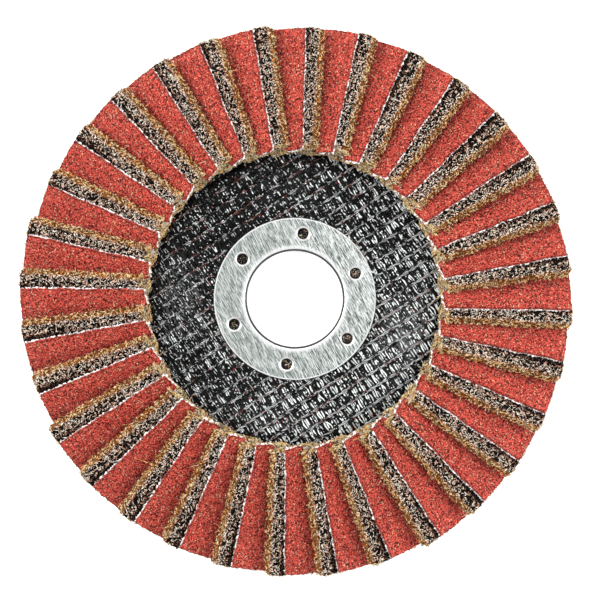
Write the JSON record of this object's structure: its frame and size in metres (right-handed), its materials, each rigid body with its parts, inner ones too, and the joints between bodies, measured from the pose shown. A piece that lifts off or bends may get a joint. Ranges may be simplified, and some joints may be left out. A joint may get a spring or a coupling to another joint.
{
  "type": "flap disc",
  "caption": "Interleaved flap disc for an angle grinder: coated-abrasive and non-woven flaps fanned round a depressed-centre glass-fibre backing plate with a clinched steel bore ring.",
  "frame": {"origin": "on the spindle axis, in the plane of the rear clamping face, on which the disc rests with its flaps up", "axes": "+Z along the spindle axis from the grinder towards the work, so the flap face looks along +Z; the first coated-abrasive flap lies along +Y; flaps are numbered clockwise as seen from +Z"},
  "size_m": [0.125, 0.125, 0.0173],
  "materials": {
    "abrasive_cloth": "matte",
    "nonwoven_web": "matte",
    "adhesive": "satin",
    "glass_laminate": "gloss",
    "steel": "satin",
    "label_paper": "matte"
  },
  "bodies": {
    "root": {"front_ring": "steel", "rear_ring": "steel", "glass_ply_1": "glass_laminate", "glass_ply_2": "glass_laminate", "glass_ply_3": "glass_laminate", "glass_ply_4": "glass_laminate", "adhesive_bed": "adhesive", "rear_label": "label_paper", "abrasive_flap_01": "abrasive_cloth", "abrasive_flap_02": "abrasive_cloth", "abrasive_flap_03": "abrasive_cloth", "abrasive_flap_04": "abrasive_cloth", "abrasive_flap_05": "abrasive_cloth", "abrasive_flap_06": "abrasive_cloth", "abrasive_flap_07": "abrasive_cloth", "abrasive_flap_08": "abrasive_cloth", "abrasive_flap_09": "abrasive_cloth", "abrasive_flap_10": "abrasive_cloth", "abrasive_flap_11": "abrasive_cloth", "abrasive_flap_12": "abrasive_cloth", "abrasive_flap_13": "abrasive_cloth", "abrasive_flap_14": "abrasive_cloth", "abrasive_flap_15": "abrasive_cloth", "abrasive_flap_16": "abrasive_cloth", "abrasive_flap_17": "abrasive_cloth", "abrasive_flap_18": "abrasive_cloth", "abrasive_flap_19": "abrasive_cloth", "abrasive_flap_20": "abrasive_cloth", "abrasive_flap_21": "abrasive_cloth", "abrasive_flap_22": "abrasive_cloth", "abrasive_flap_23": "abrasive_cloth", "abrasive_flap_24": "abrasive_cloth", "abrasive_flap_25": "abrasive_cloth", "abrasive_flap_26": "abrasive_cloth", "abrasive_flap_27": "abrasive_cloth", "abrasive_flap_28": "abrasive_cloth", "abrasive_flap_29": "abrasive_cloth", "abrasive_flap_30": "abrasive_cloth", "abrasive_flap_31": "abrasive_cloth", "abrasive_flap_32": "abrasive_cloth", "nonwoven_flaps_01_02": "nonwoven_web", "nonwoven_flaps_03_04": "nonwoven_web", "nonwoven_flaps_05_06": "nonwoven_web", "nonwoven_flaps_07_08": "nonwoven_web", "nonwoven_flaps_09_10": "nonwoven_web", "nonwoven_flaps_11_12": "nonwoven_web", "nonwoven_flaps_13_14": "nonwoven_web", "nonwoven_flaps_15_16": "nonwoven_web", "nonwoven_flaps_17_18": "nonwoven_web", "nonwoven_flaps_19_20": "nonwoven_web", "nonwoven_flaps_21_22": "nonwoven_web", "nonwoven_flaps_23_24": "nonwoven_web", "nonwoven_flaps_25_26": "nonwoven_web", "nonwoven_flaps_27_28": "nonwoven_web", "nonwoven_flaps_29_30": "nonwoven_web", "nonwoven_flaps_31_32": "nonwoven_web"}
  },
  "joints": []
}
